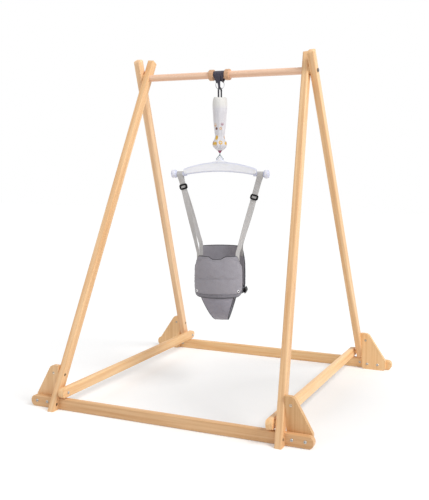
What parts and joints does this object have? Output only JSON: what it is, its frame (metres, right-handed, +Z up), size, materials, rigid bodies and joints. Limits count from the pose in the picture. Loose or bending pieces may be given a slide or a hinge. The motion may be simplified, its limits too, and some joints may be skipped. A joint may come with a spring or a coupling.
{
  "type": "baby_jumper_frame",
  "caption": "Free-standing wooden A-frame with a sprung fabric baby seat hung from its top bar by a strap and carabiner",
  "frame": {"origin": "on the floor under the middle of the top bar", "axes": "+X along the top bar to the right, +Y to the back, +Z up"},
  "size_m": [1.0228, 1.0044, 1.1663],
  "materials": {
    "beech": "clear lacquer, fine straight grain",
    "plywood": "clear lacquer, plies on the edges",
    "turned_wood": "clear lacquer",
    "zinc_steel": "zinc plated",
    "bright_steel": "polished",
    "grey_wire": "drawn wire",
    "dark_metal": "dark satin coat",
    "dark_webbing": "woven",
    "grey_webbing": "woven",
    "cord": "braided",
    "cover_cloth": null,
    "burgundy_plastic": "moulded",
    "white_plastic": "moulded, slightly translucent",
    "black_plastic": "moulded",
    "seat_cloth": "padded, quilted"
  },
  "bodies": {
    "front_frame": {"front_left_leg": "beech", "front_right_leg": "beech", "front_rail": "beech", "front_left_gusset": "plywood", "front_right_gusset": "plywood", "top_bar": "beech", "left_bar_collar": "turned_wood", "right_bar_collar": "turned_wood", "pivot_bolts": "zinc_steel", "pivot_washers": "turned_wood", "bar_barrel_nuts": "zinc_steel", "front_gusset_bolts": "zinc_steel", "front_gusset_nuts": "zinc_steel", "front_toe_bolts": "zinc_steel", "front_toe_nuts": "zinc_steel", "front_rail_bolts": "zinc_steel", "front_rail_nuts": "zinc_steel", "front_spacers": "beech"},
    "rear_frame": {"rear_left_leg": "beech", "rear_right_leg": "beech", "rear_rail": "beech", "rear_left_gusset": "plywood", "rear_right_gusset": "plywood", "rear_gusset_bolts": "zinc_steel", "rear_gusset_nuts": "zinc_steel", "rear_toe_bolts": "zinc_steel", "rear_toe_nuts": "zinc_steel", "rear_rail_bolts": "zinc_steel", "rear_rail_nuts": "zinc_steel", "rear_spacers": "beech", "side_rail_pivots": "zinc_steel"},
    "left_rail": {"left_side_rail": "beech", "left_side_rail_bolt": "zinc_steel"},
    "right_rail": {"right_side_rail": "beech", "right_side_rail_bolt": "zinc_steel"},
    "hanger": {"hanging_strap": "dark_webbing", "strap_ring": "bright_steel"},
    "clip": {"carabiner": "dark_metal", "gate_pin": "bright_steel"},
    "clip_gate": {"carabiner_gate": "dark_metal"},
    "spring": {"spring_hook": "bright_steel", "coil_spring": "bright_steel", "safety_cord": "cord", "spring_cover": "cover_cloth"},
    "spring_foot": {"spring_tip": "burgundy_plastic", "foot_eye": "bright_steel"},
    "wire_link": {"wire_triangle": "grey_wire"},
    "seat": {"spreader_bar": "white_plastic", "left_strap": "grey_webbing", "right_strap": "grey_webbing", "front_panel": "seat_cloth", "back_panel": "seat_cloth", "crotch_panel": "seat_cloth", "panel_snaps": "bright_steel", "left_waist_belt": "dark_webbing", "right_waist_belt": "dark_webbing", "belt_buckle": "black_plastic"},
    "left_adjuster": {"left_slider": "black_plastic"},
    "right_adjuster": {"right_slider": "black_plastic"}
  },
  "joints": [
    {"name": "frame_fold", "type": "hinge", "parent": "front_frame", "child": "rear_frame", "pos_m": [0, 0, 1.1], "axis": [-1, 0, 0], "range_deg": [0, 36]},
    {"name": "left_rail_fold", "type": "hinge", "parent": "rear_frame", "child": "left_rail", "pos_m": [-0.35699, 0.45733, 0.05863], "axis": [-0.9965, 0, 0.0837], "range_deg": [0, 57.6]},
    {"name": "right_rail_fold", "type": "hinge", "parent": "rear_frame", "child": "right_rail", "pos_m": [0.35699, 0.45733, 0.05863], "axis": [-0.9965, 0, -0.0837], "range_deg": [0, 57.6]},
    {"name": "strap_swing", "type": "hinge", "parent": "front_frame", "child": "hanger", "pos_m": [-0.013, 0, 1.1], "axis": [1, 0, 0], "range_deg": [-20, 20]},
    {"name": "side_swing", "type": "hinge", "parent": "hanger", "child": "clip", "pos_m": [-0.013, 0, 1.067], "axis": [0, 1, 0], "range_deg": [-8, 8]},
    {"name": "gate_open", "type": "hinge", "parent": "clip", "child": "clip_gate", "pos_m": [-0.013, 0.012, 1.0183], "axis": [1, 0, 0], "range_deg": [0, 25], "stiffness_Nm_per_rad": 0.05, "springref_deg": -5.73},
    {"name": "jumper_turn", "type": "hinge", "parent": "clip", "child": "spring", "pos_m": [-0.013, 0, 1.0018], "axis": [0, 0, 1], "range_deg": [-30, 30]},
    {"name": "bounce", "type": "slide", "parent": "spring", "child": "spring_foot", "axis": [0, 0, -1], "range_m": [0, 0.12], "stiffness_N_per_m": 600, "springref_m": -0.03, "deforming": ["coil_spring", "safety_cord", "spring_cover"]},
    {"name": "link_rock", "type": "hinge", "parent": "spring_foot", "child": "wire_link", "pos_m": [-0.013, 0, 0.82335], "axis": [-0.2079, 0.9781, 0], "range_deg": [-8, 8]},
    {"name": "seat_tilt", "type": "hinge", "parent": "wire_link", "child": "seat", "pos_m": [-0.013, 0, 0.80956], "axis": [0.9781, 0.2079, 0], "range_deg": [-12, 12]},
    {"name": "left_slider_slide", "type": "slide", "parent": "seat", "child": "left_adjuster", "axis": [-0.2532, -0.0538, 0.9659], "range_m": [0, 0.006]},
    {"name": "right_slider_slide", "type": "slide", "parent": "seat", "child": "right_adjuster", "axis": [0.2532, 0.0538, 0.9659], "range_m": [0, 0.04]}
  ],
  "couplings": [
    {"joint": "left_rail_fold", "follows": "frame_fold", "ratio": 1.6},
    {"joint": "right_rail_fold", "follows": "frame_fold", "ratio": 1.6}
  ]
}
